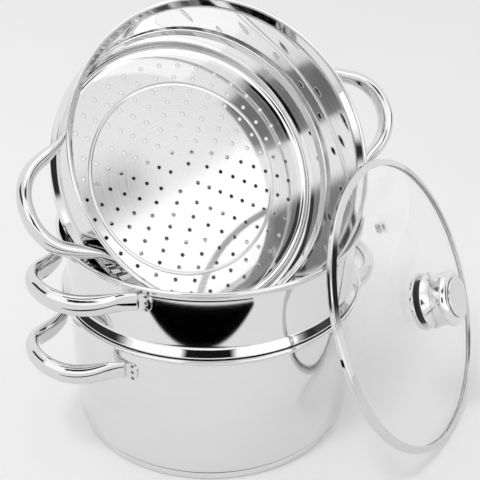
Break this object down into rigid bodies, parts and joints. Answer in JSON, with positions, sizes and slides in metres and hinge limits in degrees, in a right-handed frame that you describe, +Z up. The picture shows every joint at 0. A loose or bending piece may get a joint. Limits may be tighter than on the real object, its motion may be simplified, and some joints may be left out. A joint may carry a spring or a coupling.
{
  "type": "steamer pot",
  "caption": "Stainless steel pot with stacking perforated steamer baskets and a glass lid, shown with a basket and the lid leaning.",
  "frame": {"origin": "centre of the pot's base, on the surface that it stands on", "axes": "+Z up along the pot's axis, -Y towards the viewer of the picture, +X towards the leaning lid"},
  "size_m": [0.4502, 0.3104, 0.4086],
  "materials": {
    "pot_steel": "polished stainless steel with a fine grain",
    "core_aluminium": "rolled aluminium",
    "base_steel": "fine brushed stainless steel",
    "handle_chrome": "mirror polished stainless steel",
    "weld_steel": "heat-darkened spot weld",
    "steamer_steel": "mirror polished stainless steel",
    "lid_glass": "clear tempered glass",
    "band_steel": "polished stainless steel",
    "grommet_steel": "polished stainless steel",
    "seal_rubber": "translucent silicone",
    "washer_steel": "plain steel",
    "screw_steel": "plain steel",
    "knob_steel": "satin and polished stainless steel",
    "knob_insert": "black heat-resistant plastic",
    "knob_cap_steel": "satin stainless steel"
  },
  "bodies": {
    "pot": {"pot_body": "pot_steel", "pot_base_core": "core_aluminium", "pot_base_cap": "base_steel", "pot_left_handle": "handle_chrome", "pot_right_handle": "handle_chrome", "pot_handle_welds": "weld_steel"},
    "lower_steamer": {"lower_steamer_shell": "steamer_steel", "lower_steamer_base": "steamer_steel", "lower_steamer_left_handle": "handle_chrome", "lower_steamer_right_handle": "handle_chrome", "lower_steamer_handle_welds": "weld_steel"},
    "upper_steamer": {"upper_steamer_shell": "steamer_steel", "upper_steamer_base": "steamer_steel", "upper_steamer_left_handle": "handle_chrome", "upper_steamer_right_handle": "handle_chrome", "upper_steamer_handle_welds": "weld_steel"},
    "lid": {"lid_glass": "lid_glass", "lid_rim_band": "band_steel", "lid_vent_grommet": "grommet_steel", "lid_seal_washer": "seal_rubber", "lid_inner_washer": "washer_steel", "lid_knob_screw": "screw_steel", "lid_knob_flange": "knob_steel", "lid_knob_insert": "knob_insert", "lid_knob_body": "knob_steel", "lid_knob_cap": "knob_cap_steel"}
  },
  "joints": [
    {"name": "lower_steamer_lift", "type": "slide", "parent": "pot", "child": "lower_steamer", "axis": [0, 0, 1], "range_m": [0, 0.12]},
    {"name": "upper_steamer_lift", "type": "slide", "parent": "lower_steamer", "child": "upper_steamer", "axis": [0, 0, 1], "range_m": [0, 0.18]},
    {"name": "lid_lift", "type": "slide", "parent": "upper_steamer", "child": "lid", "axis": [0.8006, -0.425, 0.4223], "range_m": [0, 0.15]}
  ]
}
